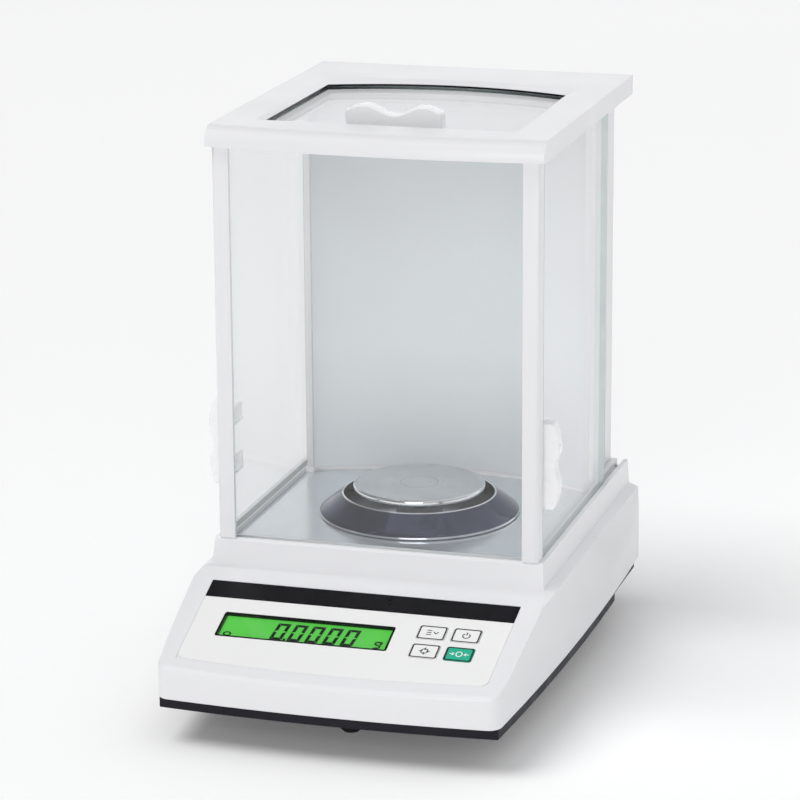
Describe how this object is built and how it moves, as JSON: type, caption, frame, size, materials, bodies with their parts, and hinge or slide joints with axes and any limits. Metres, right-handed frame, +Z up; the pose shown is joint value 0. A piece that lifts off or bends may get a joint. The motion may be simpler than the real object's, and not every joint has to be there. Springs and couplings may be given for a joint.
{
  "type": "analytical balance",
  "caption": "Analytical balance with a sloped console, display and keys, a round pan in a wind ring, and a glass draft shield with sliding side and top panes.",
  "frame": {"origin": "under the middle of the object, on the bench", "axes": "+Z up, -Y towards the user at the console, +X to the user's right"},
  "size_m": [0.2178, 0.329, 0.347],
  "materials": {
    "white_housing": "satin white moulding",
    "dark_tray": "dark navy, fine grain",
    "black_rubber": "soft matt",
    "brass_insert": "machined",
    "wheel_plastic": "knurled",
    "panel_film": "printed film",
    "gloss_black": "high gloss",
    "lcd_green": "backlit display",
    "clear_window": "clear",
    "board_green": "circuit board",
    "key_white": "film key",
    "key_teal": "film key",
    "floor_mirror": "polished steel",
    "chromed_ring": "polished",
    "pan_steel": "fine brushed",
    "pane_glass": "clear float glass",
    "back_grey": "satin blue-grey",
    "level_liquid": "tinted spirit",
    "socket_black": "moulded",
    "port_metal": "plated shell",
    "plate_grey": "satin",
    "cell_aluminium": "machined",
    "magnet_iron": "ground",
    "coil_copper": "enamelled copper wire",
    "screw_steel": "zinc plated"
  },
  "bodies": {
    "base": {"housing": "white_housing", "base_tray": "dark_tray", "front_foot": "black_rubber", "foot_insert_left": "brass_insert", "foot_insert_right": "brass_insert", "control_overlay": "panel_film", "trim_strip": "gloss_black", "lcd_bezel": "gloss_black", "lcd_window": "clear_window", "lcd_module": "lcd_green", "display_board": "board_green", "chamber_floor": "floor_mirror", "floor_bush": "white_housing", "post_left": "white_housing", "post_right": "white_housing", "column_left": "white_housing", "column_right": "white_housing", "front_glass": "pane_glass", "back_panel": "back_grey", "roof_frame": "white_housing", "opening_gasket": "black_rubber", "level_cup": "white_housing", "level_vial": "level_liquid", "dc_jack": "socket_black", "data_port": "port_metal", "port_plate": "plate_grey", "cell_frame": "cell_aluminium", "cell_guides": "cell_aluminium", "magnet_yoke": "magnet_iron", "position_sensor": "socket_black", "main_board": "board_green", "tray_screws": "screw_steel", "column_screws": "screw_steel"},
    "carrier": {"pan_carrier": "pan_steel"},
    "lever": {"cell_lever": "cell_aluminium", "force_coil": "coil_copper"},
    "pan": {"weighing_pan": "pan_steel"},
    "ring": {"wind_ring": "chromed_ring"},
    "top_door": {"top_glass": "pane_glass", "top_handle": "white_housing"},
    "left_door": {"door_glass_left": "pane_glass", "door_handle_left": "white_housing"},
    "right_door": {"door_glass_right": "pane_glass", "door_handle_right": "white_housing"},
    "menu_key": {"key_menu": "key_white"},
    "power_key": {"key_power": "key_white"},
    "calibrate_key": {"key_calibrate": "key_white"},
    "tare_key": {"key_tare": "key_teal"},
    "left_pad": {"foot_pad_left": "black_rubber"},
    "right_pad": {"foot_pad_right": "black_rubber"},
    "left_wheel": {"foot_wheel_left": "wheel_plastic"},
    "right_wheel": {"foot_wheel_right": "wheel_plastic"}
  },
  "joints": [
    {"name": "top_door_slide", "type": "slide", "parent": "base", "child": "top_door", "axis": [0, 1, 0], "range_m": [0, 0.11]},
    {"name": "left_door_slide", "type": "slide", "parent": "base", "child": "left_door", "axis": [0, 1, 0], "range_m": [0, 0.12]},
    {"name": "right_door_slide", "type": "slide", "parent": "base", "child": "right_door", "axis": [0, 1, 0], "range_m": [0, 0.12]},
    {"name": "menu_key_press", "type": "slide", "parent": "base", "child": "menu_key", "axis": [0, 0.3206, -0.9472], "range_m": [0, 0.0004], "stiffness_N_per_m": 600},
    {"name": "power_key_press", "type": "slide", "parent": "base", "child": "power_key", "axis": [0, 0.3206, -0.9472], "range_m": [0, 0.0004], "stiffness_N_per_m": 600},
    {"name": "calibrate_key_press", "type": "slide", "parent": "base", "child": "calibrate_key", "axis": [0, 0.3206, -0.9472], "range_m": [0, 0.0004], "stiffness_N_per_m": 600},
    {"name": "tare_key_press", "type": "slide", "parent": "base", "child": "tare_key", "axis": [0, 0.3206, -0.9472], "range_m": [0, 0.0004], "stiffness_N_per_m": 600},
    {"name": "carrier_flex", "type": "slide", "parent": "base", "child": "carrier", "axis": [0, 0, 1], "range_m": [-0.00015, 0.00015], "stiffness_N_per_m": 6000, "springref_m": 0.00017},
    {"name": "lever_pivot", "type": "hinge", "parent": "base", "child": "lever", "pos_m": [0, 0.053, 0.056], "axis": [1, 0, 0], "range_deg": [-0.5, 0.5]},
    {"name": "pan_lift", "type": "slide", "parent": "carrier", "child": "pan", "axis": [0, 0, 1], "range_m": [0, 0.08]},
    {"name": "ring_lift", "type": "slide", "parent": "base", "child": "ring", "axis": [0, 0, 1], "range_m": [0, 0.08]},
    {"name": "left_foot_height", "type": "slide", "parent": "base", "child": "left_pad", "axis": [0, 0, 1], "range_m": [-0.003, 0.003]},
    {"name": "left_foot_turn", "type": "hinge", "parent": "left_pad", "child": "left_wheel", "pos_m": [-0.08, 0.121, 0.01], "axis": [0, 0, 1], "range_deg": [-1081, 1081]},
    {"name": "right_foot_height", "type": "slide", "parent": "base", "child": "right_pad", "axis": [0, 0, 1], "range_m": [-0.003, 0.003]},
    {"name": "right_foot_turn", "type": "hinge", "parent": "right_pad", "child": "right_wheel", "pos_m": [0.08, 0.121, 0.01], "axis": [0, 0, 1], "range_deg": [-1081, 1081]}
  ],
  "couplings": [
    {"joint": "lever_pivot", "follows": "carrier_flex", "rad_per_m": -50},
    {"joint": "left_foot_turn", "follows": "left_foot_height", "rad_per_m": 6283.2},
    {"joint": "right_foot_turn", "follows": "right_foot_height", "rad_per_m": 6283.2}
  ]
}
